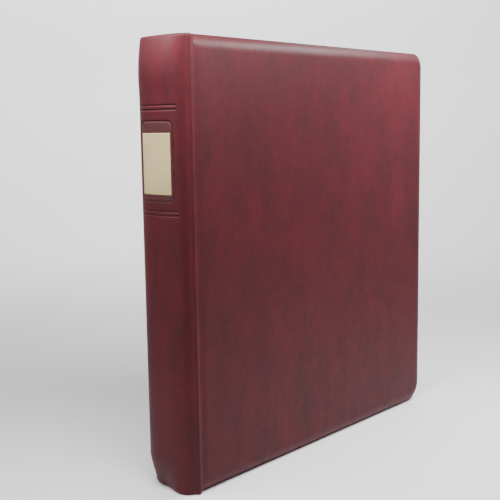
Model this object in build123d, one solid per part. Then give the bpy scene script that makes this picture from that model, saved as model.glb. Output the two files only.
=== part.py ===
from build123d import *
import math
import os

# Stamp album: a padded ring binder with punched album leaves.
# Frame: millimetres, +Z up. The closed album stands on its bottom edge, with the origin at the middle of
# its footprint. The spine faces -X, the fore-edge +X, the front cover -Y and the back cover +Y.

# ---- overall sizes of the closed album ----
height = 317.0              # bottom edge to top edge
depth = 303.5               # crown of the spine to the fore-edge
ring_side_room = 3.1        # closed rings to each cover's lining

# ---- covers: outer skin, foam, board and lining, welded round the edge ----
cover_thickness = 5.0
skin_thickness = 0.6
lining_thickness = 0.5
board_thickness = 2.0
fore_corner_radius = 12.0
hinge_corner_radius = 3.0
cover_edge_rounding = 1.6
hinge_strip_width = 4.4     # hinge axis to the start of the padded cover
hinge_strip_thickness = 1.2
weld_margin = 1.5           # welded edge round the board and the foam
foam_edge_rounding = 1.0

# ---- hinge rolls: the soft vertical ridges that the covers turn round ----
roll_radius = 2.4
roll_clearance = 0.6

# ---- spine ----
spine_bulge = 8.5           # crown beyond the rolls, over most of the height
spine_end_bulge = 5.5       # crown beyond the rolls, at the top and bottom edges
spine_taper_height = 20.0   # height over which the crown falls away
spine_skin_thickness = 1.2
spine_form_thickness = 1.8
spine_form_inset = 22.0     # curved form stops short of the top and bottom edges
spine_board_thickness = 2.2
side_gap = 0.3              # board edge to hinge roll

# ---- spine label and its window ----
label_width = 27.0
label_height = 41.5
label_centre_z = 231.3
label_corner_radius = 0.5
frame_width = 30.0
frame_height = 54.0
frame_centre_z = 233.0
frame_corner_radius = 4.0
frame_recess = 0.6
card_thickness = 0.25
film_thickness = 0.2

# ---- ring mechanism ----
ring_count = 18
ring_pitch = 15.5
ring_radius = 15.5          # to the middle of the wire
wire_diameter = 2.8
tip_gap = 0.1               # between the closed tips of a pair of half rings
ring_centre_height = 15.0   # ring centre above the spine lining
housing_end_length = 10.75  # outermost ring to the housing's end
ring_foot_margin = 3.6      # ring foot to the outside of the housing
housing_plate_room = 0.9    # shut plates' outer edges to the top of the housing's side walls
housing_arch_rise = 1.6     # side walls' top to the crown of the housing
housing_sheet = 0.8
ledge_width = 1.2
ledge_thickness = 0.7
plate_thickness = 1.0
plate_pivot_height = 3.0
plate_side_gap = 0.3
plate_centre_gap = 0.25
plate_closed_dip = 1.287    # how far the shut plates' inner edges dip towards the spine
notch_half_length = 2.3     # along the spine, each side of a ring
notch_foot_margin = 1.8     # where a ring's notch starts, inside the ring's foot
rivet_spacing = 6 * ring_pitch
rivet_radius = 1.8
rivet_head_radius = 4.0
rivet_head_height = 1.2
rivet_flange = 0.8
spacer_radius = 3.2
spacer_play = 0.15
plate_notch_radius = 4.2
ring_tail_angle = 6.0       # degrees of wire below a plate's pivot height, trimmed flush with the plate

# ---- opening levers at the ends of the mechanism ----
lever_pin_radius = 1.0
lever_pin_inset = 4.0       # pin axis from the housing's end
lever_hub_radius = 1.6
lever_hub_half_width = 6.0
lever_bore_clearance = 0.05
lever_sheet = 1.2
lever_tab_length = 11.0
lever_tab_half_width = 7.0
lever_tab_angle = 35.0      # degrees up from the spine when at rest
tongue_half_width = 2.0
tongue_length = 5.5
tongue_thickness = 0.8
tongue_floor_gap = 0.2
end_cut_length = 6.2
end_cut_gap = 0.6
plate_end_gap = 2.5         # plate end to lever pin axis

# ---- album leaves ----
leaves_per_side = 5
leaf_fore_margin = 4.1      # cover's fore-edge beyond the middle leaves
leaf_end_margin = 12.5      # cover's top and bottom edges beyond the leaves
leaf_thickness = 0.4
leaf_pitch = 1.6
leaf_first_offset = 0.9     # middle of the album to the nearest leaf
leaf_corner_radius = 3.0
punch_radius = 3.1
punch_margin = 5.0          # hole centre to the leaf's inner edge
punch_gap = 0.3             # wire to the hole's edge nearest the spine
punch_drop = 0.6            # hole centre below the middle of its ring
pocket_rows = 4
pocket_thickness = 0.25
pocket_margin = 14.0        # pocket ends from the leaf's side edges
pocket_side_margin = 22.0   # first and last row from the leaf's top and bottom edges
pocket_gap = 8.0            # between rows

# ---- places worked out from the sizes above ----
middle_z = height / 2
wire_radius = wire_diameter / 2
thickness = 2 * (cover_thickness + ring_side_room + wire_radius + ring_radius)
crown_x = -depth / 2
fore_x = depth / 2
roll_left = crown_x + spine_bulge
hinge_x = roll_left + roll_radius
hinge_y = thickness / 2 - cover_thickness / 2
cover_start_x = hinge_x + hinge_strip_width
cover_inner_y = thickness / 2 - cover_thickness
board_half_width = hinge_y - roll_radius - side_gap
spine_board_x = roll_left + spine_skin_thickness
lining_face_x = spine_board_x + spine_board_thickness + lining_thickness
ring_centre_x = lining_face_x + ring_centre_height
ring_foot_y = math.sqrt(ring_radius ** 2 - (ring_centre_height - plate_pivot_height) ** 2)
housing_half_width = ring_foot_y + ring_foot_margin
housing_wall = plate_pivot_height + plate_thickness / 2 + housing_plate_room
housing_height = housing_wall + housing_arch_rise
pivot_y = housing_half_width - housing_sheet - plate_side_gap
plate_closed_tilt = math.degrees(math.asin(plate_closed_dip / pivot_y))
housing_length = (ring_count - 1) * ring_pitch + 2 * housing_end_length
leaf_height = height - 2 * leaf_end_margin
pivot_x = lining_face_x + plate_pivot_height
housing_bottom = middle_z - housing_length / 2
housing_top = middle_z + housing_length / 2
pin_z = housing_top - lever_pin_inset
plate_top_z = pin_z - plate_end_gap
ring_heights = [middle_z + (i - (ring_count - 1) / 2) * ring_pitch for i in range(ring_count)]
rivet_heights = [middle_z - rivet_spacing, middle_z, middle_z + rivet_spacing]


def block(x0, x1, y0, y1, z0, z1):
    """A box between two corners."""
    size = Box(x1 - x0, y1 - y0, z1 - z0)
    return Pos((x0 + x1) / 2, (y0 + y1) / 2, (z0 + z1) / 2) * size


def upright_rod(x, y, z0, z1, radius):
    """A cylinder along Z."""
    return Pos(x, y, (z0 + z1) / 2) * Cylinder(radius, z1 - z0)


def rod_along_x(x0, x1, y, z, radius):
    """A cylinder along X."""
    return Pos((x0 + x1) / 2, y, z) * Rot(0, 90, 0) * Cylinder(radius, x1 - x0)


def rod_along_y(x, y0, y1, z, radius):
    """A cylinder along Y."""
    return Pos(x, (y0 + y1) / 2, z) * Rot(90, 0, 0) * Cylinder(radius, y1 - y0)


def to_back(shape):
    """The back cover's copy of something made for the front cover."""
    return mirror(shape, about=Plane.XZ)


def to_bottom(shape):
    """The bottom end's copy of something made for the top end of the mechanism."""
    return mirror(shape, about=Plane.XY.offset(middle_z))


def save(name, shape):
    """Writes one sub-part."""
    export_step(shape if isinstance(shape, Compound) else Compound(children=list(shape.solids())),
                f"parts/{name}.step")


# ---------------------------------------------------------------- covers
def cover_slab(y0, y1, inset=0.0):
    """A cover's outline, rounded more at the fore-edge, between two Y planes."""
    x0, x1 = cover_start_x + inset, fore_x - inset
    slab = block(x0, x1, y0, y1, inset, height - inset)
    upright = slab.edges().filter_by(Axis.Y)
    fore = upright.filter_by_position(Axis.X, x1 - 0.01, x1 + 0.01)
    near = upright.filter_by_position(Axis.X, x0 - 0.01, x0 + 0.01)
    slab = fillet(fore, fore_corner_radius - inset)
    near = slab.edges().filter_by(Axis.Y).filter_by_position(Axis.X, x0 - 0.01, x0 + 0.01)
    return fillet(near, hinge_corner_radius - inset)


def front_cover_parts():
    """Skin, foam, board and lining of the front cover, from the outside in."""
    outer_y, inner_y = -thickness / 2, -cover_inner_y
    lining_y = inner_y - lining_thickness
    board_y = lining_y - board_thickness
    shell = cover_slab(outer_y, lining_y)
    rim = shell.faces().sort_by(Axis.Y)[0].edges()
    shell = fillet(rim, cover_edge_rounding)
    hollow = cover_slab(outer_y + skin_thickness, lining_y, weld_margin)
    strip = block(hinge_x + roll_radius + roll_clearance, cover_start_x + weld_margin,
                  -hinge_y - hinge_strip_thickness / 2, -hinge_y + hinge_strip_thickness / 2, 0, height)
    skin = (shell + strip) - hollow
    padding = cover_slab(outer_y + skin_thickness, board_y, weld_margin)
    padding = fillet(padding.faces().sort_by(Axis.Y)[0].edges(), foam_edge_rounding)
    board = cover_slab(board_y, lining_y, weld_margin)
    lining = cover_slab(lining_y, inner_y)
    return {"skin": skin, "padding": padding, "board": board, "lining": lining}


# ---------------------------------------------------------------- spine
def spine_section(z, inset, bulge):
    """The D-shaped plan of the spine at one height, shrunk by inset."""
    end_y = hinge_y - inset
    end_x = roll_left + inset / 2
    crown = roll_left - bulge + inset
    flat_y = board_half_width
    with BuildSketch(Plane.XY.offset(z)) as sketch:
        with BuildLine():
            ThreePointArc((end_x, -end_y), (crown, 0), (end_x, end_y))
            Polyline((end_x, end_y), (spine_board_x, flat_y), (spine_board_x, -flat_y), (end_x, -end_y))
        make_face()
    return sketch.sketch


def form_hollow(z):
    """The plan of the space inside the spine's curved form."""
    half = board_half_width - spine_form_thickness
    crown = crown_x + spine_skin_thickness + spine_form_thickness
    with BuildSketch(Plane.XY.offset(z)) as sketch:
        with BuildLine():
            ThreePointArc((spine_board_x, -half), (crown, 0), (spine_board_x, half))
            Line((spine_board_x, half), (spine_board_x, -half))
        make_face()
    return sketch.sketch


def spine_body(inset, z0, z1):
    """The spine's outer shape shrunk by inset: full in the middle, flatter at its two ends."""
    low, high = z0 + spine_taper_height, z1 - spine_taper_height
    body = extrude(spine_section(low, inset, spine_bulge), high - low, dir=(0, 0, 1))
    for end, full in ((z0, low), (z1, high)):
        sections = [spine_section(end, inset, spine_end_bulge), spine_section(full, inset, spine_bulge)]
        body = body + loft(sections, ruled=True)
    return body


def spine_prism(inset, z0, z1):
    """The spine's full D shape shrunk by inset, between two heights."""
    return extrude(spine_section(z0, inset, spine_bulge), z1 - z0, dir=(0, 0, 1))


def crown_window(width, tall, centre_z, radius):
    """A prism along X with a rounded rectangular outline, through the crown of the spine."""
    window = block(crown_x - 1, crown_x + spine_bulge, -width / 2, width / 2,
                   centre_z - tall / 2, centre_z + tall / 2)
    return fillet(window.edges().filter_by(Axis.X), radius)


def spine_layer(window, depth_out, depth_in):
    """The part of the spine that lies between two depths under its surface, inside a window."""
    box = window.bounding_box()
    outer = spine_prism(depth_out, box.min.Z, box.max.Z)
    inner = spine_prism(depth_in, box.min.Z, box.max.Z)
    return (window & outer) - inner


def spine_parts():
    """Everything that makes up the spine, apart from the ring mechanism."""
    rolls = upright_rod(hinge_x, -hinge_y, 0, height, roll_radius)
    front_roll, back_roll = rolls, to_back(rolls)
    skin = spine_body(0, 0, height)
    hollow = spine_body(spine_skin_thickness, spine_skin_thickness, height - spine_skin_thickness)
    skin = skin - hollow - front_roll - back_roll
    frame = crown_window(frame_width, frame_height, frame_centre_z, frame_corner_radius)
    skin = skin - (frame - spine_prism(frame_recess, 0, height))
    card_edge = crown_window(label_width, label_height, label_centre_z, label_corner_radius)
    card = spine_layer(card_edge, frame_recess - card_thickness, frame_recess)
    film = spine_layer(frame, frame_recess - card_thickness - film_thickness, frame_recess - card_thickness)
    form_low, form_high = spine_form_inset, height - spine_form_inset
    form_height = form_high - form_low
    outer = extrude(spine_section(form_low, spine_skin_thickness, spine_bulge), form_height, dir=(0, 0, 1))
    inner = extrude(form_hollow(form_low), form_height, dir=(0, 0, 1))
    room = upright_rod(hinge_x, -hinge_y, form_low, form_high, roll_radius + side_gap)
    form = outer - inner - room - to_back(room)
    board_x = spine_board_x + spine_board_thickness
    board = block(spine_board_x, board_x, -board_half_width, board_half_width, 0, height)
    lining = block(board_x, lining_face_x, -board_half_width, board_half_width, 0, height)
    for z in rivet_heights:
        hole = rod_along_x(spine_board_x - 1, lining_face_x + 1, 0, z, rivet_radius)
        board, lining = board - hole, lining - hole
    return {"spine_skin": skin, "spine_form": form, "spine_board": board, "spine_lining": lining,
            "front_hinge_roll": front_roll, "back_hinge_roll": back_roll,
            "label_card": card, "label_window": film}


# ---------------------------------------------------------------- ring mechanism
def housing():
    """The arched steel housing, with ledges for the plates, ring notches, rivet holes and pin holes."""
    def arch(inset):
        half, wall_x = housing_half_width - inset, lining_face_x + housing_wall - inset / 2
        with BuildSketch(Plane.XY.offset(housing_bottom)) as sketch:
            with BuildLine():
                ThreePointArc((wall_x, -half), (lining_face_x + housing_height - inset, 0), (wall_x, half))
                Polyline((wall_x, half), (lining_face_x, half), (lining_face_x, -half), (wall_x, -half))
            make_face()
        return extrude(sketch.sketch, housing_length, dir=(0, 0, 1))
    shell = arch(0) - arch(housing_sheet)
    wall = housing_half_width - housing_sheet
    ledge_x = pivot_x - plate_thickness / 2 - plate_side_gap
    ledge = block(ledge_x - ledge_thickness, ledge_x, wall - ledge_width, wall, housing_bottom, housing_top)
    shell = shell + ledge + to_back(ledge)
    top_x = lining_face_x + housing_height + 1
    for z in ring_heights:
        for side in (-1, 1):
            y0, y1 = sorted((side * (ring_foot_y - notch_foot_margin), side * (housing_half_width + 1)))
            shell = shell - block(ledge_x, top_x, y0, y1, z - notch_half_length, z + notch_half_length)
    for z in rivet_heights:
        shell = shell - rod_along_x(lining_face_x, top_x, 0, z, rivet_radius)
    cut_half = lever_tab_half_width + end_cut_gap
    cut_z = housing_top - end_cut_length
    end_cut = block(lining_face_x - 1, top_x, -cut_half, cut_half, cut_z, housing_top + 1)
    far = housing_half_width + 1
    pin_hole = rod_along_y(pivot_x, -far, far, pin_z, lever_pin_radius)
    for cut in (end_cut, pin_hole):
        shell = shell - cut - to_bottom(cut)
    return shell


def plate_tilted(shape, side):
    """Turns something drawn on a flat hinge plate into the plate's closed position."""
    turn = Rot(0, 0, -side * plate_closed_tilt)
    return Pos(pivot_x, side * pivot_y, 0) * turn * Pos(-pivot_x, -side * pivot_y, 0) * shape


def hinge_plate(side):
    """One hinge plate: its outer edge pivots on the housing's ledge, its inner edge meets the other plate."""
    y0, y1 = sorted((side * plate_centre_gap / 2, side * pivot_y))
    bottom_z = 2 * middle_z - plate_top_z
    plate = block(pivot_x - plate_thickness / 2, pivot_x + plate_thickness / 2, y0, y1, bottom_z, plate_top_z)
    for z in rivet_heights:
        plate = plate - rod_along_x(pivot_x - 2, pivot_x + 2, 0, z, plate_notch_radius)
    return plate_tilted(plate, side)


def half_rings(side):
    """The half rings that stand on one hinge plate, shut against their partners."""
    foot_angle = math.degrees(math.acos(-(ring_centre_height - plate_pivot_height) / ring_radius))
    sweep = foot_angle + ring_tail_angle
    tip = math.degrees(tip_gap / 2 / ring_radius)
    wire = Pos(ring_radius, 0, 0) * Rot(90, 0, 0) * Circle(wire_radius)
    arc = revolve(wire, Axis.Z, revolution_arc=side * (sweep - tip))
    arc = Rot(0, 0, side * tip) * arc
    far = housing_half_width + 2
    below = block(pivot_x - 8, pivot_x + plate_thickness / 2, *sorted((-side * 2, side * far)), -5, 5)
    below = plate_tilted(below, side)
    arc = Pos(ring_centre_x, 0, 0) * arc - below
    return [Pos(0, 0, z) * arc for z in ring_heights]


def lever():
    """The top opening lever: a hub on the pin, a thumb tab outside and a tongue under the plates."""
    hub = rod_along_y(pivot_x, -lever_hub_half_width, lever_hub_half_width, pin_z, lever_hub_radius)
    tab = block(-lever_sheet / 2, lever_sheet / 2, -lever_tab_half_width, lever_tab_half_width,
                0, lever_tab_length)
    tab = fillet(tab.edges().filter_by(Axis.X).group_by(Axis.Z)[-1], lever_tab_half_width * 0.5)
    inner = lever_hub_half_width
    sheet_x = lever_sheet / 2
    waist = block(-sheet_x, sheet_x, -lever_tab_half_width - 1, -inner, -1, lever_hub_radius + 1)
    tab = tab - waist - to_back(waist)
    tab = Pos(pivot_x, 0, pin_z) * Rot(0, lever_tab_angle, 0) * tab
    floor = lining_face_x + tongue_floor_gap
    tongue = block(floor, floor + tongue_thickness, -tongue_half_width, tongue_half_width,
                   pin_z - tongue_length, pin_z + lever_hub_radius / 2)
    neck = block(floor, pivot_x, -tongue_half_width, tongue_half_width,
                 pin_z - lever_hub_radius / 2, pin_z + lever_hub_radius / 2)
    bore = rod_along_y(pivot_x, -lever_hub_half_width - 2, lever_hub_half_width + 2, pin_z,
                       lever_pin_radius + lever_bore_clearance)
    return hub + tab + tongue + neck - bore


def rivets():
    """The rivets that hold the housing to the spine board."""
    made = []
    top = lining_face_x + housing_height
    for z in rivet_heights:
        head = rod_along_x(top, top + rivet_head_height, 0, z, rivet_head_radius)
        head = fillet(head.edges().sort_by(Axis.X)[-1], rivet_head_height * 0.8)
        shank = rod_along_x(spine_board_x - rivet_flange, top, 0, z, rivet_radius)
        flange = rod_along_x(spine_board_x - rivet_flange, spine_board_x, 0, z, rivet_head_radius)
        made.append(head + shank + flange)
    return made


def rivet_spacers():
    """The sleeves that keep the housing off the spine lining at each rivet."""
    top = lining_face_x + housing_height - housing_sheet - spacer_play
    return [rod_along_x(lining_face_x, top, 0, z, spacer_radius)
            - rod_along_x(lining_face_x - 1, top + 1, 0, z, rivet_radius) for z in rivet_heights]


def lever_pins():
    """One pin through the housing's side walls at each end."""
    pin = rod_along_y(pivot_x, -housing_half_width, housing_half_width, pin_z, lever_pin_radius)
    return [pin, to_bottom(pin)]


# ---------------------------------------------------------------- leaves
def hole_centre_x(offset):
    """Where the punched holes lie in a leaf that hangs at a distance from the album's middle plane."""
    rise = math.sqrt(ring_radius ** 2 - offset ** 2)
    wire_half_width = wire_radius * ring_radius / rise
    return ring_centre_x + rise + punch_radius - wire_half_width - punch_gap


def leaf_card(offset):
    """One punched leaf, hung on the rings at a distance from the album's middle plane."""
    hole_x = hole_centre_x(offset)
    x0 = hole_x - punch_margin
    leaf_width = fore_x - leaf_fore_margin - hole_centre_x(leaf_first_offset) + punch_margin
    z0 = middle_z - leaf_height / 2 - punch_drop
    y0, y1 = offset - leaf_thickness / 2, offset + leaf_thickness / 2
    card = block(x0, x0 + leaf_width, y0, y1, z0, z0 + leaf_height)
    card = fillet(card.edges().filter_by(Axis.Y).group_by(Axis.X)[-1], leaf_corner_radius)
    for z in ring_heights:
        card = card - rod_along_y(hole_x, y0 - 1, y1 + 1, z - punch_drop, punch_radius)
    return card


def leaf_pockets(offset):
    """The clear pocket strips on the front of a leaf, one solid for each row."""
    box = leaf_card(offset).bounding_box()
    y1 = offset - leaf_thickness / 2
    x0 = box.min.X + 2 * punch_margin + pocket_margin
    x1 = box.max.X - pocket_margin
    span = leaf_height - 2 * pocket_side_margin
    row = (span - (pocket_rows - 1) * pocket_gap) / pocket_rows
    strips = []
    for i in range(pocket_rows):
        z0 = box.min.Z + pocket_side_margin + i * (row + pocket_gap)
        strips.append(block(x0, x1, y1 - pocket_thickness, y1, z0, z0 + row))
    return strips


def leaf_offsets():
    """Each leaf's distance from the middle plane, from the front of the album to the back."""
    half = [leaf_first_offset + i * leaf_pitch for i in range(leaves_per_side)]
    return [-d for d in reversed(half)] + half


# ---------------------------------------------------------------- everything
def main():
    os.makedirs("parts", exist_ok=True)
    for name, shape in front_cover_parts().items():
        save(f"front_{name}", shape)
        save(f"back_{name}", to_back(shape))
    for name, shape in spine_parts().items():
        save(name, shape)
    save("mechanism_housing", housing())
    save("mechanism_rivets", Compound(children=rivets()))
    save("rivet_spacers", Compound(children=rivet_spacers()))
    save("lever_pins", Compound(children=lever_pins()))
    for name, side in (("front", -1), ("back", 1)):
        save(f"{name}_hinge_plate", hinge_plate(side))
        save(f"{name}_half_rings", Compound(children=half_rings(side)))
    save("top_lever", lever())
    save("bottom_lever", to_bottom(lever()))
    for number, offset in enumerate(leaf_offsets(), 1):
        if number == 1:
            save("title_leaf_card", leaf_card(offset))
            continue
        save(f"leaf_{number}_card", leaf_card(offset))
        save(f"leaf_{number}_pockets", Compound(children=leaf_pockets(offset)))


main()
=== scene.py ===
# %% [markdown]
# # A padded stamp album in wine-red leathercloth
# The closed album stands upright on its bottom edge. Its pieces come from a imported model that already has
# the right sizes, bodies and joints, and this lesson adds the soft skins, the finishes, the lights and
# the camera. Everything is in metres, in the model's own frame: +Z up, the spine on -X, the front cover
# on -Y.

# %% Load the frame
import math

import bmesh
import bpy
import numpy as np
from mathutils import Matrix, Vector


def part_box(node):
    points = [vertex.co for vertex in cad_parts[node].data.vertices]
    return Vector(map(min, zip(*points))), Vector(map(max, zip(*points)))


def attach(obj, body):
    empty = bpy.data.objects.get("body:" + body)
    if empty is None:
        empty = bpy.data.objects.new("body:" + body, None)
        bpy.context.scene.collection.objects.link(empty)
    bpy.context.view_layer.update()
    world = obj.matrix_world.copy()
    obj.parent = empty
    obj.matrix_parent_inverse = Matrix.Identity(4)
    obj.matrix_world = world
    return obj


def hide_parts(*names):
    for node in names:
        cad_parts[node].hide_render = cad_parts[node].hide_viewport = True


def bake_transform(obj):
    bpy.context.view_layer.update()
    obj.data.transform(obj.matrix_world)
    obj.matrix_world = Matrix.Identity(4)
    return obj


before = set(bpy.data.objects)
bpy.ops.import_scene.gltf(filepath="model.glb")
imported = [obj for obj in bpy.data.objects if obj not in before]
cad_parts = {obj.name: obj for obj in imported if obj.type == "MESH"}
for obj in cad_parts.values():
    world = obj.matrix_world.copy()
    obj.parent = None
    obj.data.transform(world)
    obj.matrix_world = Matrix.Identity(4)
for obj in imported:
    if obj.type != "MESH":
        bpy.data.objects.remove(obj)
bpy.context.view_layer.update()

# %% [markdown]
# Every place below is read from the model, so that a piece goes where the album's own parts say. The two
# hinge rolls give the axes that the covers turn round, and the cover's skin gives its faces and its
# edges.

# %% Read the album's main sizes
MM = 0.001
skin_low, skin_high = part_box("front_skin")
roll_low, roll_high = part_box("front_hinge_roll")
height = skin_high.z
fore_x = skin_high.x
face_y = -skin_low.y
lining_y = -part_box("front_lining")[1].y
roll_radius = (roll_high.x - roll_low.x) / 2
hinge_x = (roll_high.x + roll_low.x) / 2
hinge_y = -(roll_high.y + roll_low.y) / 2
crown_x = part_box("spine_skin")[0].x
print("each cover is", round(fore_x - hinge_x, 4), "m wide and", round(height, 4), "m tall")
print("the outer faces are", round(2 * face_y, 4), "m apart")

# %% [markdown]
# A mesh can be typed in by hand, made from a primitive and modified, or computed. Soft covers need smooth
# curves at known places, so they are computed as grids of points. This helper turns points and faces into
# an object, merges the points that fall on each other and shades it smooth.

# %% Mesh helpers
def make_piece(name, points, faces, merge=0.01 * MM):
    """A smooth-shaded mesh object from points and faces, with its faces turned outwards."""
    mesh = bpy.data.meshes.new(name)
    mesh.from_pydata([tuple(p) for p in points], [], faces)
    work = bmesh.new()
    work.from_mesh(mesh)
    bmesh.ops.remove_doubles(work, verts=work.verts, dist=merge)
    bmesh.ops.recalc_face_normals(work, faces=work.faces)
    work.to_mesh(mesh)
    work.free()
    mesh.polygons.foreach_set("use_smooth", [True] * len(mesh.polygons))
    piece = bpy.data.objects.new(name, mesh)
    bpy.context.scene.collection.objects.link(piece)
    print(name, len(mesh.vertices), "points")
    return piece


def grid_faces(rows, columns, start=0, wrap=False):
    """Quads between neighbouring rows of points; wrap closes each row on itself."""
    last = columns if wrap else columns - 1
    faces = []
    for row in range(rows - 1):
        for column in range(last):
            a = start + row * columns + column
            b = start + row * columns + (column + 1) % columns
            faces.append((a, b, b + columns, a + columns))
    return faces


def spaced(low, high, step):
    """Evenly spaced values from low to high, about step apart."""
    return list(np.linspace(low, high, max(2, int(round((high - low) / step)) + 1)))

# %% [markdown]
# Shader maths reads best as ordinary arithmetic. The class below wraps a node's socket, so that an
# expression such as `0.38 + 0.12 * streaks` adds its Math nodes by itself. Only the sum and the product
# are needed here, each in its two orders, and a smooth step.

# %% Shader arithmetic
class Signal:
    """A number that varies over a surface. Plain arithmetic on it adds Math nodes."""

    def __init__(self, finish, socket):
        self.finish = finish
        self.socket = socket

    def maths(self, operation, *values):
        return self.finish.add("ShaderNodeMath", {"operation": operation}, dict(enumerate(values)))

    def __add__(self, other):
        return self.maths("ADD", self, other)

    def __radd__(self, other):
        return self.maths("ADD", other, self)

    def __mul__(self, other):
        return self.maths("MULTIPLY", self, other)

    def __rmul__(self, other):
        return self.maths("MULTIPLY", other, self)

    def between(self, low, high):
        """0 below low, 1 above high, and a smooth step from one to the other."""
        settings = {"interpolation_type": "SMOOTHSTEP"}
        inputs = {"Value": self, "From Min": low, "From Max": high}
        return self.finish.add("ShaderNodeMapRange", settings, inputs)

# %% [markdown]
# A finish is one material round one Principled shader. What is the same all over the surface is set on
# the shader's own sockets. What varies comes from nodes, and any node is made by one method that takes
# its type, its settings and what goes into its sockets. Sizes are given in metres on the object, never in
# texture units, so that a grain of half a millimetre stays half a millimetre on every piece.

# %% Finishes
class Finish:
    """A material that is built up around one Principled shader."""

    def __init__(self, name, **fixed):
        self.material = bpy.data.materials.new(name)
        self.material.use_nodes = True
        self.nodes = self.material.node_tree.nodes
        self.links = self.material.node_tree.links
        self.shader = self.nodes["Principled BSDF"]
        for name, value in fixed.items():
            socket = name.replace("_", " ").title().replace("Ior", "IOR")
            self.shader.inputs[socket].default_value = value

    def add(self, kind, settings=None, inputs=None, output=0):
        """One node: its settings first, then the values or links of its sockets."""
        node = self.nodes.new(kind)
        for name, value in (settings or {}).items():
            setattr(node, name, value)
        for key, value in (inputs or {}).items():
            self.connect(node.inputs[key], value)
        return Signal(self, node.outputs[output])

    def connect(self, socket, value):
        if isinstance(value, Signal):
            self.links.new(value.socket, socket)
        else:
            socket.default_value = value

    def feed(self, socket, value):
        """Sends a value or a signal to the shader."""
        self.connect(self.shader.inputs[socket], value)

    def place(self, stretch):
        """The point on the object, in metres, scaled by stretch before a texture reads it."""
        object_output = 3
        point = self.add("ShaderNodeTexCoord", output=object_output)
        return self.add("ShaderNodeMapping", None, {"Vector": point, "Scale": stretch})

    def noise(self, size, detail=2.0, rough=0.5, stretch=(1, 1, 1)):
        """Cloudy noise whose lumps are about size metres across, from 0 to 1."""
        inputs = {"Vector": self.place(stretch), "Scale": 0.5 / size}
        inputs.update({"Detail": detail, "Roughness": rough})
        return self.add("ShaderNodeTexNoise", None, inputs)

    def cells(self, size, stretch=(1, 1, 1)):
        """Distance to the nearest of many scattered points, about size metres apart."""
        inputs = {"Vector": self.place(stretch), "Scale": 1 / size}
        return self.add("ShaderNodeTexVoronoi", {"feature": "F1"}, inputs)

    def blend_colours(self, first, second, share):
        """Goes from the first colour to the second as share goes from 0 to 1."""
        factor, colour_a, colour_b = 0, 6, 7
        inputs = {factor: share, colour_a: first, colour_b: second}
        colour_output = 2
        return self.add("ShaderNodeMix", {"data_type": "RGBA"}, inputs, output=colour_output)

    def bump(self, relief, depth):
        """Turns a relief from 0 to 1 into shading, for bumps about depth metres high."""
        normal = self.add("ShaderNodeBump", None, {"Height": relief, "Distance": depth, "Strength": 1.0})
        self.feed("Normal", normal)


def colour(red, green, blue):
    """A linear colour from the 0 to 255 numbers that a paint chart gives."""
    def linear(c):
        c = c / 255
        return c / 12.92 if c <= 0.04045 else ((c + 0.055) / 1.055) ** 2.4
    return (linear(red), linear(green), linear(blue), 1.0)

# %% [markdown]
# The leathercloth is calendered vinyl on a woven back: wine red, printed with soft darker clouds that run
# a little more up and down than across, and embossed with a fine leather grain. An image texture would
# repeat and blur close up, so the clouds, the mottling, the specks and the grain are procedural noise of
# different sizes.

# %% Leathercloth
def leathercloth():
    finish = Finish("wine leathercloth", specular_ior_level=0.1)
    clouds = finish.noise(8 * MM, detail=2, rough=0.5, stretch=(1, 1, 0.45))
    streaks = finish.noise(2.6 * MM, detail=3, rough=0.6, stretch=(1, 1, 0.65))
    specks = finish.noise(0.8 * MM, detail=2, rough=0.6)
    darkness = (clouds * 0.38 + streaks * 0.30 + specks * 0.32).between(0.30, 0.70)
    red = finish.blend_colours(colour(78, 28, 33), colour(56, 26, 30), darkness)
    finish.feed("Base Color", red)
    grain = finish.cells(0.55 * MM, stretch=(1, 1, 0.8))
    crease = finish.noise(1.6 * MM, detail=3, rough=0.6)
    relief = grain * 0.6 + crease * 0.6 + streaks * 0.5
    finish.bump(relief, 0.05 * MM)
    finish.feed("Roughness", 0.38 + streaks * 0.12)
    return finish.material


wine = leathercloth()
print(wine.name, "has", len(wine.node_tree.nodes), "nodes")

# %% [markdown]
# A padded cover is a board with foam on it under a skin that is welded to the lining all round. Its
# outline is a rectangle with rounded corners: small ones at the hinge, larger ones at the fore edge, and
# the largest at the foot of the fore edge, which gets most of the knocks. The outline is filled with a
# grid of points whose lines crowd towards the edges, because that is where the skin curves.

# %% The outline of a cover
fore_radius = 12 * MM
fore_foot_radius = 17 * MM
hinge_radius = 2.0 * MM
back_foot_corner = 8 * MM
pad_start_x = hinge_x + roll_radius + 0.75 * MM
smallest_radius = 0.5 * MM
edge_lines = 11
crowding = 1.8


def edge_steps(low, high, low_zone, high_zone, step):
    """Grid lines from low to high: crowded towards both ends, even between them."""
    near = [low + low_zone * (i / edge_lines) ** crowding for i in range(edge_lines)]
    far = [high - high_zone * (i / edge_lines) ** crowding for i in range(edge_lines)]
    middle = spaced(low + low_zone, high - high_zone, step)
    return near + middle + far[::-1]


def rounded_corner(a, b, radius):
    """Moves a point that is a and b from two edges so that the corner between them becomes an arc."""
    if a >= radius or b >= radius:
        return a, b
    u, v = 1 - a / radius, 1 - b / radius
    return radius * (1 - u * math.sqrt(1 - v * v / 2)), radius * (1 - v * math.sqrt(1 - u * u / 2))


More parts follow.
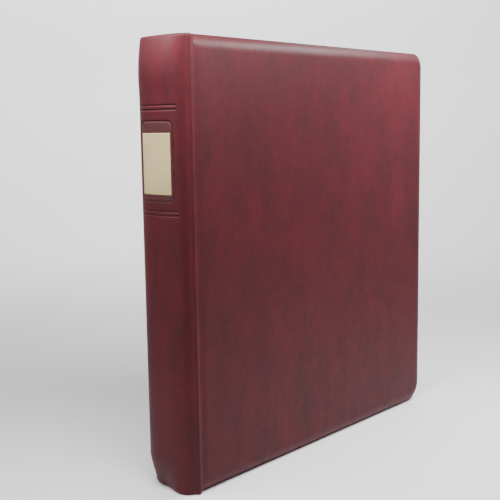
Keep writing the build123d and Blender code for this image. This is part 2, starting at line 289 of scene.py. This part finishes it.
def outline_grid(inset=0.0, foot_corner=hinge_radius, step=6 * MM):
    """Rows of (x, z) points that fill a cover's outline, pulled in by inset."""
    x_low, x_high, z_low, z_high = pad_start_x + inset, fore_x - inset, inset, height - inset
    rows = []
    for z in edge_steps(z_low, z_high, fore_foot_radius, fore_radius, step):
        row = []
        for x in edge_steps(x_low, x_high, fore_radius, fore_foot_radius, step):
            low_side = z - z_low < z_high - z
            fore = (fore_foot_radius if low_side else fore_radius) - inset
            from_end = min(z - z_low, z_high - z)
            from_fore, from_near = x_high - x, x - x_low
            if from_fore < from_near:
                from_fore, from_end = rounded_corner(from_fore, from_end, fore)
                new_x = x_high - from_fore
            else:
                near = foot_corner if low_side else hinge_radius
                radius = max(near - inset, smallest_radius)
                from_near, from_end = rounded_corner(from_near, from_end, radius)
                new_x = x_low + from_near
            row.append((new_x, z_low + from_end if low_side else z_high - from_end))
        rows.append(row)
    return rows


def edge_distance(x, z, inset=0.0):
    """How far a point is inside the cover's top, bottom and fore edges."""
    a = fore_x - inset - x
    b = min(z, height - z) - inset
    radius = (fore_foot_radius if z < height / 2 else fore_radius) - inset
    if a < radius and b < radius:
        return radius - math.hypot(radius - a, radius - b)
    return min(a, b)


plain_grid = outline_grid()
print("a cover's grid has", len(plain_grid), "rows of", len(plain_grid[0]), "points")

# %% [markdown]
# The face of a pad isn't a flat slab. From the weld it swells up in a soft shoulder, and then runs almost
# level. Two slow, small waves over the whole face, given in radians per metre, keep the reflections from
# looking machine-made. Along the hinge the pad drops into a shallow groove, and a thin tongue runs on
# from there into the roll, leaving it along its curve. Cloth simulation could inflate such a pad, but the
# weld and the board fix its shape, so a formula is truer.

# %% The face of a pad
shoulder_width = 8.8 * MM
hinge_shoulder = 4.5 * MM
weld_width = 0.7 * MM
weld_height = 0.9 * MM
weld_curve = 0.4 * MM
weld_foot = 0.35 * MM
face_sink = 0.12 * MM
wave_height = 0.08 * MM
short_waves = (61, 47)
long_waves = (23, 31)
long_share = 0.6
tongue_join = 0.8 * MM
tongue_sink = 0.03 * MM
groove_face = 2.0 * MM


def smooth(low, high, value):
    """0 below low, 1 above high, and a smooth step from one to the other."""
    share = min(max((value - low) / (high - low), 0), 1)
    return share * share * (3 - 2 * share)


def rounded(distance, width):
    """0 at the edge and 1 at width from it, along a quarter of an ellipse."""
    share = min(max(distance / width, 0), 1)
    return math.sqrt(1 - (1 - share) ** 2)


def padded(distance, width):
    """0 at the edge and 1 at width from it, along a soft parabola that ends level."""
    share = min(max(distance / width, 0), 1)
    return 1 - (1 - share) ** 2.2


def cover_height(x, z):
    """How far the padded face stands from the middle plane of the album."""
    inside = edge_distance(x, z)
    base = lining_y + weld_foot + weld_height * min(1, (max(inside, 0) / weld_curve) ** 0.5)
    short = math.sin(x * short_waves[0] + 1) * math.sin(z * short_waves[1])
    long = math.sin(x * long_waves[0] - z * long_waves[1])
    full = face_y - face_sink + wave_height * (short + long_share * long)
    swell = base + (full - base) * padded(inside - weld_width, shoulder_width)
    groove = hinge_y + groove_face
    return min(swell, groove + (full - groove) * smooth(0, hinge_shoulder, x - pad_start_x))


def tongue_height(reach):
    """The tongue's outer face, which leaves the roll along its curve and runs level into the groove."""
    if reach <= tongue_join:
        return math.sqrt(roll_radius ** 2 - reach ** 2) - tongue_sink
    level = pad_start_x - hinge_x
    start = math.sqrt(roll_radius ** 2 - tongue_join ** 2) - tongue_sink
    slope = -tongue_join / math.sqrt(roll_radius ** 2 - tongue_join ** 2)
    t = (reach - tongue_join) / (level - tongue_join)
    along = (t ** 3 - 2 * t ** 2 + t) * slope * (level - tongue_join)
    return start + (groove_face - start) * smooth(0, 1, t) + along


middle_face = cover_height(fore_x / 2, height / 2)
print("the middle of a pad stands", round(middle_face - lining_y, 4), "m above its lining")

# %% [markdown]
# Each cover is made as a closed solid: the padded face, a flat back against the lining, and the weld
# where they meet. The hinge's roll is the axis that the cover turns round, so the tongue only turns
# inside the roll, and the cover stays joined to the spine at every angle. The tongue's points lie in a
# few columns ahead of the pad's.

# %% The covers
tongue_reaches = [reach * MM for reach in (0.6, 0.9, 1.2, 1.5, 1.8, 2.1, 2.4, 2.7)]
tongue_half = 1.5 * MM
root_y = hinge_y - tongue_half
root_width = 1.2 * MM
pad_back_y = lining_y + 0.3 * MM


def rim_of(rows, columns):
    """The indices round the edge of a grid, in order."""
    rim = [r * columns for r in range(rows)] + [(rows - 1) * columns + c for c in range(1, columns)]
    rim += [r * columns + columns - 1 for r in range(rows - 2, -1, -1)]
    return rim + list(range(columns - 2, 0, -1))


def sheet_piece(name, face, back, rows, columns):
    """A closed solid from two grids of points with the same edge, joined all round."""
    faces = grid_faces(rows, columns) + grid_faces(rows, columns, start=len(face))
    rim = rim_of(rows, columns)
    for a, b in zip(rim, rim[1:] + rim[:1]):
        faces.append((a, b, b + len(face), a + len(face)))
    return make_piece(name, face + back, faces)


def padded_cover(name, side, foot_corner):
    """The outer skin of one cover, closed at the back so that it is a solid pad."""
    rows = outline_grid(foot_corner=foot_corner)
    outer, inner = [], []
    for row in rows:
        root_z = row[0][1]
        root_z = max(root_z, foot_corner) if root_z < height / 2 else root_z
        for reach in tongue_reaches:
            outer.append((hinge_x + reach, side * (hinge_y + tongue_height(reach)), root_z))
            inner.append((hinge_x + reach, side * root_y, root_z))
        for x, z in row:
            back_y = root_y + (pad_back_y - root_y) * rounded(x - pad_start_x, root_width)
            outer.append((x, side * cover_height(x, z), z))
            inner.append((x, side * back_y, z))
    return sheet_piece(name, outer, inner, len(rows), len(rows[0]) + len(tongue_reaches))


for body, side, foot_corner in (("front", -1, hinge_radius), ("back", 1, back_foot_corner)):
    cover = padded_cover(f"{body}_cover_leathercloth", side, foot_corner)
    cover.data.materials.append(wine)
    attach(cover, f"{body}_cover")
    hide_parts(f"{body}_skin", f"{body}_padding", f"{body}_board")

# %% [markdown]
# The spine and its two hinge rolls are one sheet of the same leathercloth, drawn over a curved form. Seen
# from above, the bulge is close to a superellipse, a curve between a circle and a square: nearly flat in
# the middle, with full shoulders that drop into a valley beside each roll. Above and below the form
# nothing holds the skin out, so there the bulge falls away, and the foot is crushed in towards the back.

# %% The shape of the bulge
valley_y = hinge_y - 1.1 * MM
valley_x = hinge_x - roll_radius + 0.5 * MM
full_bulge = hinge_x - roll_radius - crown_x
head_bulge = 4.2 * MM
front_foot_bulge = full_bulge - 0.3 * MM
back_foot_bulge = 3.4 * MM
crush_start_y = -16 * MM
crush_end_y = 5 * MM
head_taper = 20 * MM
head_power = 1.7
foot_taper = 22 * MM
foot_power = 1.25
head_swell = 0.8 * MM
swell_middle = 1.35 * head_taper
swell_width = 0.45 * head_taper
shoulder_share = 0.87
side_power = 3.2
crown_power = 2.2


def bulge_at(y, z):
    """How far the spine stands out beyond the rolls at one height; the foot is drawn in at the back."""
    if z < height / 2:
        crush = smooth(crush_start_y, crush_end_y, y)
        end = front_foot_bulge + (back_foot_bulge - front_foot_bulge) * crush
        return full_bulge - (full_bulge - end) * (1 - min(z / foot_taper, 1)) ** foot_power
    from_head = height - z
    swell = head_swell * math.exp(-((from_head - swell_middle) / swell_width) ** 2)
    fall = (1 - min(from_head / head_taper, 1)) ** head_power
    return full_bulge - (full_bulge - head_bulge) * fall + swell


def spine_surface(y, z):
    """Where the spine's outer surface lies in X, before the dies press it."""
    reach = bulge_at(y, z) + valley_x - (hinge_x - roll_radius)
    share = min(abs(y) / valley_y, 1)
    return valley_x - reach * (1 - share ** side_power) ** (1 / crown_power)


print("the bulge stands out", round(bulge_at(0, height / 2), 4), "m beyond the rolls")

# %% [markdown]
# Heat and a brass die press the double lines and the frame of the label window into the skin. They are
# real grooves here, more than half a millimetre deep at their middle, so that they catch the light from
# any side. The grid is finer where they run.

# %% The tooled lines
card_low, card_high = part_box("label_card")
window_low, window_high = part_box("label_window")
card_half = (card_high.y, (card_high.z - card_low.z) / 2)
card_middle_z = (card_low.z + card_high.z) / 2
frame_half = (window_high.y, (window_high.z - window_low.z) / 2)
frame_middle_z = (window_low.z + window_high.z) / 2
frame_radius = 4 * MM
line_gap = 3 * MM
lines_below = window_low.z - 6.6 * MM
lines_above = window_high.z + 7.4 * MM
line_heights = [lines_below - line_gap, lines_below, lines_above, lines_above + line_gap]
line_half_length = 17.4 * MM
groove_depth = 0.65 * MM
groove_width = 0.5 * MM


def frame_distance(y, z):
    """Distance from the tooled frame round the label: a rectangle with rounded corners."""
    dy = abs(y) - (frame_half[0] - frame_radius)
    dz = abs(z - frame_middle_z) - (frame_half[1] - frame_radius)
    return math.hypot(max(dy, 0), max(dz, 0)) + min(max(dy, dz), 0) - frame_radius


def tooling(y, z):
    """How deep the dies press the skin at one point."""
    depth = math.exp(-(frame_distance(y, z) / groove_width) ** 2)
    past = max(abs(y) - line_half_length, 0)
    for line in line_heights:
        depth = max(depth, math.exp(-((z - line) ** 2 + past ** 2) / groove_width ** 2))
    return groove_depth * depth


print("tooled lines at", [round(line, 4) for line in line_heights], "m above the floor")

# %% [markdown]
# The skin is then a stack of closed loops, one for each height: round the front roll, across the bulge
# and round the back roll. First come the heights of the loops, close together where the dies have pressed
# and at both ends, and the rolls, which are plain tubes except that the back one is drawn in at its ends.

# %% Heights and rolls
end_rows = 18
pinch_foot = 21 * MM
pinch_head = 16 * MM
pinch_forward = 0.8 * MM
pinch_inward = 2.0 * MM
pinch_thinning = 1.4 * MM


def spine_rows():
    """Heights for the rows of the spine, close together where the dies have pressed."""
    fine, coarse, margin = 0.25 * MM, 2.5 * MM, 2 * MM
    pressed = [(line_heights[0] - margin, window_low.z + frame_radius)]
    pressed.append((window_high.z - frame_radius, line_heights[3] + margin))
    rows, z = [], foot_taper
    while z < height - head_taper:
        rows.append(z)
        z += fine if any(low < z < high for low, high in pressed) else coarse
    foot = [foot_taper * (i / end_rows) ** 2 for i in range(end_rows)]
    head = [height - head_taper * (i / end_rows) ** 2 for i in range(end_rows - 1, -1, -1)]
    return foot + rows + head


def foot_share(z):
    """1 at the very foot, falling to 0 where the back roll is no longer drawn in."""
    return max(0, 1 - z / pinch_foot)


def roll_at(z, side):
    """Centre and radius of a hinge roll at one height; the back roll's foot and head are drawn in."""
    head = max(0, 1 - (height - z) / pinch_head)
    pinch = (foot_share(z) + 0.5 * head) if side > 0 else 0
    centre = Vector((hinge_x + pinch_forward * pinch, side * (hinge_y - pinch_inward * pinch)))
    return centre, roll_radius - pinch_thinning * pinch


print("the spine has", len(spine_rows()), "loops of skin")

# %% [markdown]
# One half of a loop starts inside its roll, goes round it, leaves it along a smooth curve through the
# valley and runs over the bulge to the crown. The other half is made in the same way on the other side.
# The valley's curve is a Hermite curve: it is fixed by its two ends and by the directions in which it
# leaves and reaches them.

# %% One loop of the spine's skin
roll_leave = math.radians(165)
roll_start = math.radians(100)
valley_crush = 5 * MM
slope_step = 0.3 * MM
crown_points = 80


def fillet_curve(start, start_way, end, end_way, count=14):
    """Points on a smooth curve that leaves start and reaches end in the given directions."""
    span = (end - start).length
    a, b = start_way.normalized() * span, end_way.normalized() * span
    points = []
    for i in range(1, count):
        t = i / count
        points.append((2 * t ** 3 - 3 * t ** 2 + 1) * start + (t ** 3 - 2 * t ** 2 + t) * a
                      + (3 * t ** 2 - 2 * t ** 3) * end + (t ** 3 - t ** 2) * b)
    return points


def half_loop(z, side):
    """Points from the inside of one roll, round it and over the bulge to the crown."""
    centre, radius = roll_at(z, side)
    turns = list(np.linspace(roll_start, -roll_start, 18)[:-1])
    turns += list(np.linspace(-roll_start, -roll_leave, 30))
    points = [centre + radius * Vector((math.cos(t), -side * math.sin(t))) for t in turns]
    foot = foot_share(z) if side > 0 else 0
    edge_y = (valley_y - valley_crush * foot) * shoulder_share
    narrowing = edge_y / (valley_y * shoulder_share)
    nearer_y = edge_y - slope_step
    edge = Vector((spine_surface(side * edge_y / narrowing, z), side * edge_y))
    nearer = Vector((spine_surface(side * nearer_y / narrowing, z), side * nearer_y))
    way = Vector((-math.sin(roll_leave), side * math.cos(roll_leave)))
    points += fillet_curve(points[-1], way, edge, nearer - edge)
    for i in range(crown_points + 1):
        y = edge_y * math.cos(math.pi / 2 * i / crown_points)
        points.append(Vector((spine_surface(side * y / narrowing, z) + tooling(side * y, z), side * y)))
    return points


def spine_loop(z):
    """One closed loop of (x, y) points round the rolls and the bulge."""
    return [tuple(p) for p in half_loop(z, -1)] + [tuple(p) for p in half_loop(z, 1)[-2::-1]]


print("each loop has", len(spine_loop(height / 2)), "points")

# %% [markdown]
# At the head and the foot the loops shrink a little, for the soft edge where the skin is turned in, and a
# last loop sinks inside to close the end. Shrinking moves each point along its own normal, because
# scaling the loop would pull the two thin rolls towards the middle.

# %% The spine
edge_radius = 2.0 * MM
edge_pull = 0.6
cap_inset = 1.1 * MM
cap_depth = 0.9 * MM


def turning(points):
    """1 for a loop that runs anticlockwise, -1 for one that runs clockwise."""
    x, y = points[:, 0], points[:, 1]
    return 1 if np.sum(x * np.roll(y, -1) - y * np.roll(x, -1)) > 0 else -1


def shrunk(loop, inset):
    """The loop moved inwards by inset, along the normal at each point."""
    points = np.array(loop)
    along = np.roll(points, -1, axis=0) - np.roll(points, 1, axis=0)
    along /= np.maximum(np.linalg.norm(along, axis=1, keepdims=True), 1e-9)
    return points + inset * np.column_stack((-along[:, 1], along[:, 0])) * turning(points)


def spine_leathercloth():
    """The spine's skin and both rolls as one closed mesh, with rounded, turned-in ends."""
    loops = []
    for z in spine_rows():
        from_end = min(z, height - z)
        lift = max(edge_radius - from_end, 0)
        pull = edge_radius - math.sqrt(edge_radius ** 2 - lift ** 2)
        loops.append([(x, y, z) for x, y in shrunk(spine_loop(z), edge_pull * pull)])
    cap_pull = edge_pull * edge_radius + cap_inset
    foot = [(x, y, cap_depth) for x, y in shrunk(spine_loop(0), cap_pull)]
    head = [(x, y, height - cap_depth) for x, y in shrunk(spine_loop(height), cap_pull)]
    loops = [foot] + loops + [head]
    columns = len(foot)
    faces = grid_faces(len(loops), columns, wrap=True)
    faces.append(tuple(range(columns)))
    last = (len(loops) - 1) * columns
    faces.append(tuple(range(last + columns - 1, last - 1, -1)))
    return make_piece("spine_leathercloth", [p for loop in loops for p in loop], faces)


spine = spine_leathercloth()
spine.data.materials.append(wine)
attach(spine, "spine")
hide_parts("spine_skin", "spine_form", "front_hinge_roll", "back_hinge_roll")

# %% [markdown]
# The label is a strip of cream card that was slid behind a clear film, and the film is welded to the skin
# along the tooled frame. Both follow the bulge. The card has yellowed unevenly, and it is left blank. The
# film is nearly clear, so only its sheen and a faint haze show: a low alpha gives that without real
# refraction.

# %% Label card and its window
card_thickness = 0.12 * MM
card_rise = 0.16 * MM
film_thickness = 0.10 * MM
film_rise = 0.30 * MM
film_inset = 0.2 * MM
film_sink = 0.06 * MM
film_edge = 1.2 * MM


def rounded_patch(name, half, radius, middle_z, rise, thickness, steps=(36, 60)):
    """A thin curved sheet on the spine, with rounded corners, that stands rise(y, z) above the skin."""
    rows, columns = steps[1] + 1, steps[0] + 1
    front, back = [], []
    for r in range(rows):
        for c in range(columns):
            across, along = 2 * c / steps[0] - 1, 2 * r / steps[1] - 1
            from_side, from_end = half[0] * (1 - abs(across)), half[1] * (1 - abs(along))
            from_side, from_end = rounded_corner(from_side, from_end, radius)
            y = math.copysign(half[0] - from_side, across)
            z = middle_z + math.copysign(half[1] - from_end, along)
            x = spine_surface(y, z) - rise(y, z)
            front.append((x, y, z))
            back.append((x + thickness, y, z))
    return sheet_piece(name, front, back, rows, columns)


def cream_card():
    finish = Finish("cream card", roughness=0.75)
    stain = finish.noise(14 * MM, detail=3, rough=0.6).between(0.35, 0.75)
    fibre = finish.noise(0.5 * MM, detail=3, rough=0.7)
    finish.feed("Base Color", finish.blend_colours(colour(176, 160, 116), colour(160, 142, 96), stain))
    finish.bump(fibre, 0.03 * MM)
    return finish.material


def clear_film():
    finish = Finish("clear film", base_color=(0.2, 0.18, 0.17, 1), ior=1.45)
    haze = finish.noise(9 * MM, detail=2, stretch=(1, 1, 0.5))
    finish.feed("Alpha", 0.015 + 0.03 * haze)
    finish.feed("Roughness", 0.10 + 0.15 * haze)
    return finish.material


def film_height(y, z):
    """The film's height above the skin: welded down at the frame, and lifted off the card inside it."""
    inside = max(-frame_distance(y, z) - film_inset, 0)
    return film_rise * min(1, inside / film_edge) - film_sink


film_material = clear_film()
card = rounded_patch(
    "spine_label_card", card_half, 0.6 * MM, card_middle_z, lambda y, z: card_rise, card_thickness)
card.data.materials.append(cream_card())
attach(card, "spine")
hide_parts("label_card")
film_half = (frame_half[0] - film_inset, frame_half[1] - film_inset)
film = rounded_patch(
    "spine_label_film", film_half, frame_radius - film_inset, frame_middle_z, film_height, film_thickness)
film.data.materials.append(film_material)
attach(film, "spine")
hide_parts("label_window")

# %% [markdown]
# Inside, the album is lined with a smoother vinyl of the same red. The spine's board is wrapped in it,
# and the ring mechanism sits on that panel. The panel is a thin slab whose edges are soft, because a
# wrapped edge is never sharp.

# %% Lining vinyl and the spine's panel
board_low, board_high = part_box("spine_board")
panel_face_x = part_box("spine_lining")[1].x
panel_end = 0.7 * MM
panel_soft = 0.5 * MM
panel_round = 1.2 * MM
panel_zone = 3 * MM


def lining_vinyl():
    finish = Finish("lining vinyl")
    clouds = finish.noise(12 * MM, detail=3, rough=0.6)
    grain = finish.cells(0.7 * MM)
    finish.feed("Base Color", finish.blend_colours(colour(92, 24, 31), colour(74, 20, 27), clouds))
    finish.bump(grain, 0.04 * MM)
    finish.feed("Roughness", 0.42 + 0.16 * clouds)
    return finish.material


def spine_panel():
    """The spine's board wrapped in lining vinyl, with soft edges, between the skin and the mechanism."""
    half = board_high.y
    face, back = [], []
    heights = edge_steps(panel_end, height - panel_end, panel_zone, panel_zone, 12 * MM)
    widths = edge_steps(-half, half, panel_zone, panel_zone, 6 * MM)
    for z in heights:
        for y in widths:
            inside = min(half - abs(y), z - panel_end, height - panel_end - z)
            face.append((panel_face_x - panel_soft + panel_soft * rounded(inside, panel_round), y, z))
            back.append((board_low.x, y, z))
    return sheet_piece("spine_lining_panel", face, back, len(heights), len(widths))


lining_material = lining_vinyl()
panel_piece = spine_panel()
panel_piece.data.materials.append(lining_material)
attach(panel_piece, "spine")
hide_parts("spine_board", "spine_lining")

# %% [markdown]
# Each cover's lining is welded to the outer skin all round and is pressed with one plain line along the
# weld. It covers the turned-in edge of the skin, so it is a little smaller than the cover and follows its
# corners.

# %% The covers' linings
lining_inset = 1.7 * MM
lining_front = 0.37 * MM
lining_back = 0.42 * MM
lining_rise = 0.35 * MM
lining_round = 0.7 * MM
line_inset = 4 * MM
line_width = 0.6 * MM
line_depth = 0.18 * MM


def cover_lining(name, side, foot_corner):
    """The lining of one cover: a thin sheet with a soft edge and one pressed line inside it."""
    rows = outline_grid(lining_inset, foot_corner)
    face, back = [], []
    for row in rows:
        for x, z in row:
            inside = min(edge_distance(x, z, lining_inset), x - pad_start_x - lining_inset)
            line = line_depth * math.exp(-((inside - line_inset) / line_width) ** 2)
            depth = lining_rise * rounded(inside, lining_round) - line
            face.append((x, side * (lining_y + lining_front - depth), z))
            back.append((x, side * (lining_y + lining_back), z))
    return sheet_piece(name, face, back, len(rows), len(rows[0]))


print("each lining is", round(fore_x - pad_start_x - 2 * lining_inset, 4), "m wide")

# %% [markdown]
# A narrow strip of lining carries on across each hinge. It is slack when the album is shut and, on the real
# album, wraps round the roll as the cover opens. It belongs to the spine at one end and to the cover at the
# other, so it rides on neither body and stays where it lies with the album shut.

# %% The hinge strips
strip_steps = 28
strip_thickness = 0.35 * MM
strip_end = 0.8 * MM
strip_on_cover = 5 * MM


def arc_point(hub, first, last, share, depth):
    """A point on a spiral round the hub, from first to last, sunk by depth."""
    first_turn, last_turn = math.atan2(first.y, first.x), math.atan2(last.y, last.x)
    turn = first_turn + (last_turn - first_turn) * share
    reach = first.length + (last.length - first.length) * share ** 1.5 - depth
    return hub.x + reach * math.cos(turn), hub.y + reach * math.sin(turn)


def hinge_strip(name, side):
    """The slack strip from the spine's lining round the roll to the cover's, and its two ends."""
    spine_end = Vector((board_high.x + 0.2 * MM, board_high.y - 0.6 * MM))
    cover_end = Vector((pad_start_x + strip_on_cover, lining_y + 0.1 * MM))
    hub = Vector((hinge_x, hinge_y))
    points = []
    for depth in (0, strip_thickness):
        for i in range(strip_steps + 1):
            x, y = arc_point(hub, spine_end - hub, cover_end - hub, i / strip_steps, depth)
            points += [(x, side * y, z) for z in (strip_end, height - strip_end)]
    other = 2 * (strip_steps + 1)
    faces = grid_faces(strip_steps + 1, 2) + grid_faces(strip_steps + 1, 2, start=other)
    for i in range(strip_steps):
        for k in (0, 1):
            faces.append((2 * i + k, 2 * i + 2 + k, 2 * i + 2 + k + other, 2 * i + k + other))
    faces += [(0, 1, 1 + other, other), (other - 2, other - 1, 2 * other - 1, 2 * other - 2)]
    strip = make_piece(name, points, faces)
    return strip, [Vector((end.x, side * end.y, height / 2)) for end in (spine_end, cover_end)]


for body, side, foot_corner in (("front", -1, hinge_radius), ("back", 1, back_foot_corner)):
    lining = cover_lining(f"{body}_cover_lining", side, foot_corner)
    lining.data.materials.append(lining_material)
    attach(lining, f"{body}_cover")
    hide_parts(f"{body}_lining")
    strip, (start, end) = hinge_strip(f"{body}_hinge_lining", side)
    strip.data.materials.append(lining_material)
    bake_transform(strip)

# %% [markdown]
# The ring mechanism and the leaves already have their true shapes, so they keep their meshes and only get
# finishes. Nickel-plated spring steel is slightly brushed along its length, the rings are brighter, and
# handling leaves faint smudges on both. A metal's colour is in its reflections, so the noise goes into
# the roughness and not into the base colour.

# %% Metal
def nickel(name, base, roughness, streak):
    """Plated steel; a low streak draws the brushing out along Z."""
    finish = Finish(name, metallic=1.0, base_color=base)
    brushed = finish.noise(0.5 * MM, detail=2, stretch=(1, 1, streak))
    smudge = finish.noise(12 * MM, detail=3, rough=0.6).between(0.4, 0.7)
    finish.feed("Roughness", roughness + 0.10 * brushed + 0.08 * smudge)
    finish.bump(brushed, 0.006 * MM)
    return finish.material


steel = nickel("brushed nickel", (0.66, 0.65, 0.62, 1), 0.26, 0.08)
bright = nickel("bright nickel", (0.78, 0.77, 0.75, 1), 0.10, 0.5)
print(steel.name, "and", bright.name)

# %% [markdown]
# The leaves are black stock card, with strips of clear film that hold the stamps, and a plain ivory title
# leaf in front. Card shows its short fibres and a slight cloudiness. The film is nearly clear and isn't
# quite flat, so it only shows by its sheen: a low alpha with a long ripple does that without real
# refraction, which would be slow through nine leaves.

# %% Card and pocket film
def sheet_card(name, light, dark):
    finish = Finish(name, roughness=0.8)
    fibre = finish.noise(0.4 * MM, detail=3, rough=0.7)
    cloud = finish.noise(18 * MM, detail=2)
    shade = (fibre * 0.6 + cloud * 0.4).between(0.35, 0.65)
    finish.feed("Base Color", finish.blend_colours(light, dark, shade))
    finish.bump(fibre, 0.03 * MM)
    return finish.material


def pocket_film():
    finish = Finish("pocket film", roughness=0.08, base_color=(0.5, 0.52, 0.55, 1), ior=1.45)
    ripple = finish.noise(30 * MM, detail=2, stretch=(1, 1, 3))
    finish.feed("Alpha", 0.07 + 0.05 * ripple)
    finish.bump(ripple, 0.3 * MM)
    return finish.material


black_card = sheet_card("black stock card", colour(38, 38, 40), colour(26, 26, 28))
title_card = sheet_card("ivory title card", colour(232, 226, 206), colour(222, 214, 190))
pocket_material = pocket_film()
print(black_card.name, "and", title_card.name, "and", pocket_material.name)

# %% [markdown]
# Now each node of the model that nothing has replaced gets its finish. The mechanism's housing, plates,
# levers and spacers are brushed, and the rings, rivets and pins are bright. The leaves are found by their
# names.

# %% Finishes for the model's own nodes
finishes = {"title_leaf_card": title_card}
plates = ["mechanism_housing", "front_hinge_plate", "back_hinge_plate"]
for node in plates + ["rivet_spacers", "top_lever", "bottom_lever"]:
    finishes[node] = steel
for node in ("mechanism_rivets", "lever_pins", "front_half_rings", "back_half_rings"):
    finishes[node] = bright
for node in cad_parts:
    if node.startswith("leaf_"):
        finishes[node] = black_card if node.endswith("card") else pocket_material
for node, material in finishes.items():
    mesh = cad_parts[node].data
    mesh.materials.clear()
    mesh.materials.append(material)
print(len(finishes), "parts of the model keep their shape and get a finish")

# %% [markdown]
# The album stands on a pale round floor, which curves up into a plain wall on every side, so that no edge
# or horizon shows from anywhere. It is a profile turned round the upright axis. The curve is wide,
# because a tight one would show as a line behind the album.

# %% Floor and backdrop
floor_radius = 1.2
curve_radius = 0.5
wall_top = 1.3
floor_gap = 0.1 * MM
around = 96


def backdrop():
    """A pale round floor that curves up into a plain wall on every side."""
    profile = [(0.0, 0.0), (0.3, 0.0), (0.7, 0.0)]
    for t in np.linspace(0, math.pi / 2, 16):
        outward, upward = curve_radius * math.sin(t), curve_radius * (1 - math.cos(t))
        profile.append((floor_radius + outward, upward))
    profile.append((floor_radius + curve_radius, wall_top))
    points = []
    for radius, rise in profile:
        for turn in np.linspace(0, 2 * math.pi, around, endpoint=False):
            points.append((radius * math.cos(turn), radius * math.sin(turn), rise - floor_gap))
    return make_piece("backdrop", points, grid_faces(len(profile), around, wrap=True))


pale = Finish("pale paper", roughness=0.6, base_color=(0.80, 0.785, 0.805, 1))
room = backdrop()
room.data.materials.append(pale.material)

# %% [markdown]
# Three small lamps close above the album light its head much more than its foot, and give the soft bright
# band on the padded edge. A close lamp falls off quickly with distance: that is why the cloth darkens
# downwards while the wall stays bright. One lamp on the left lights the floor, one near the wall keeps
# the wall pale, and two weak panels on the left and on the right stand for the white walls that the
# covers mirror.

# %% Lights
def panel(name, place, target, size, power):
    """A rectangular light that faces a point, with its power in watts."""
    light = bpy.data.lights.new(name, "AREA")
    light.shape = "RECTANGLE"
    light.size, light.size_y = size
    light.energy = power
    lamp = bpy.data.objects.new(name, light)
    lamp.location = place
    lamp.rotation_euler = (Vector(target) - Vector(place)).to_track_quat("-Z", "Y").to_euler()
    bpy.context.scene.collection.objects.link(lamp)
    print(name, power, "W")


panel("top lamp over the spine", (-0.19, -0.075, 0.42), (-0.17, -0.05, 0.25), (0.12, 0.08), 1.55)
panel("top lamp behind the spine", (-0.28, 0.09, 0.45), (-0.20, 0.05, 0.2), (0.14, 0.14), 1.2)
panel("top lamp over the cover", (0.17, -0.19, 0.45), (0.14, -0.10, 0.15), (0.26, 0.20), 4.6)
panel("floor lamp at the left", (-0.62, 0.0, 0.36), (-0.62, 0.0, 0), (0.3, 0.3), 2.0)
panel("left wall", (-0.85, 0.55, 0.32), (-0.15, 0, 0.16), (0.8, 0.8), 0.1)
panel("right wall", (0.95, -0.65, 0.42), (0.05, -0.02, 0.26), (0.9, 0.5), 0.2)
panel("backdrop lamp", (0.45, 0.55, 1.3), (1.35, 1.35, 0.8), (0.9, 0.6), 44)
world = bpy.data.worlds.new("pale room")
bpy.context.scene.world = world
world.use_nodes = True
background = world.node_tree.nodes["Background"]
background.inputs["Color"].default_value = (1.0, 0.99, 0.99, 1)
background.inputs["Strength"].default_value = 0.03

# %% [markdown]
# The camera stands a little below the album's top edge, off its spine corner, and looks slightly down.
# Its place is measured from the foot of that corner, and its turn is given by angles, because a bearing,
# a dip and a small tilt are how one would set up a tripod.

# %% Camera
def aim_camera(place, bearing, dip, tilt, focal):
    """A camera turned by degrees: bearing from +X, dip below level, and tilt about its own axis."""
    bearing, dip, tilt = map(math.radians, (bearing, dip, tilt))
    ahead = Vector((math.cos(bearing), math.sin(bearing), 0))
    forward = ahead * math.cos(dip) - Vector((0, 0, math.sin(dip)))
    level = Vector((math.sin(bearing), -math.cos(bearing), 0))
    upward = level.cross(forward)
    right = level * math.cos(tilt) + upward * math.sin(tilt)
    up = upward * math.cos(tilt) - level * math.sin(tilt)
    camera = bpy.data.objects.new("camera", bpy.data.cameras.new("camera"))
    turn = Matrix((right, up, -forward)).transposed()
    camera.matrix_world = Matrix.Translation(place) @ turn.to_4x4()
    camera.data.lens = focal
    bpy.context.scene.collection.objects.link(camera)
    bpy.context.scene.camera = camera


spine_corner = Vector((hinge_x - roll_radius, -hinge_y - roll_radius, 0))
tripod = spine_corner + Vector((-0.4161, -0.4263, 0.2561))
aim_camera(tripod, bearing=41.99, dip=7.94, tilt=-0.88, focal=64.2)
print("the camera stands at", [round(value, 3) for value in tripod])
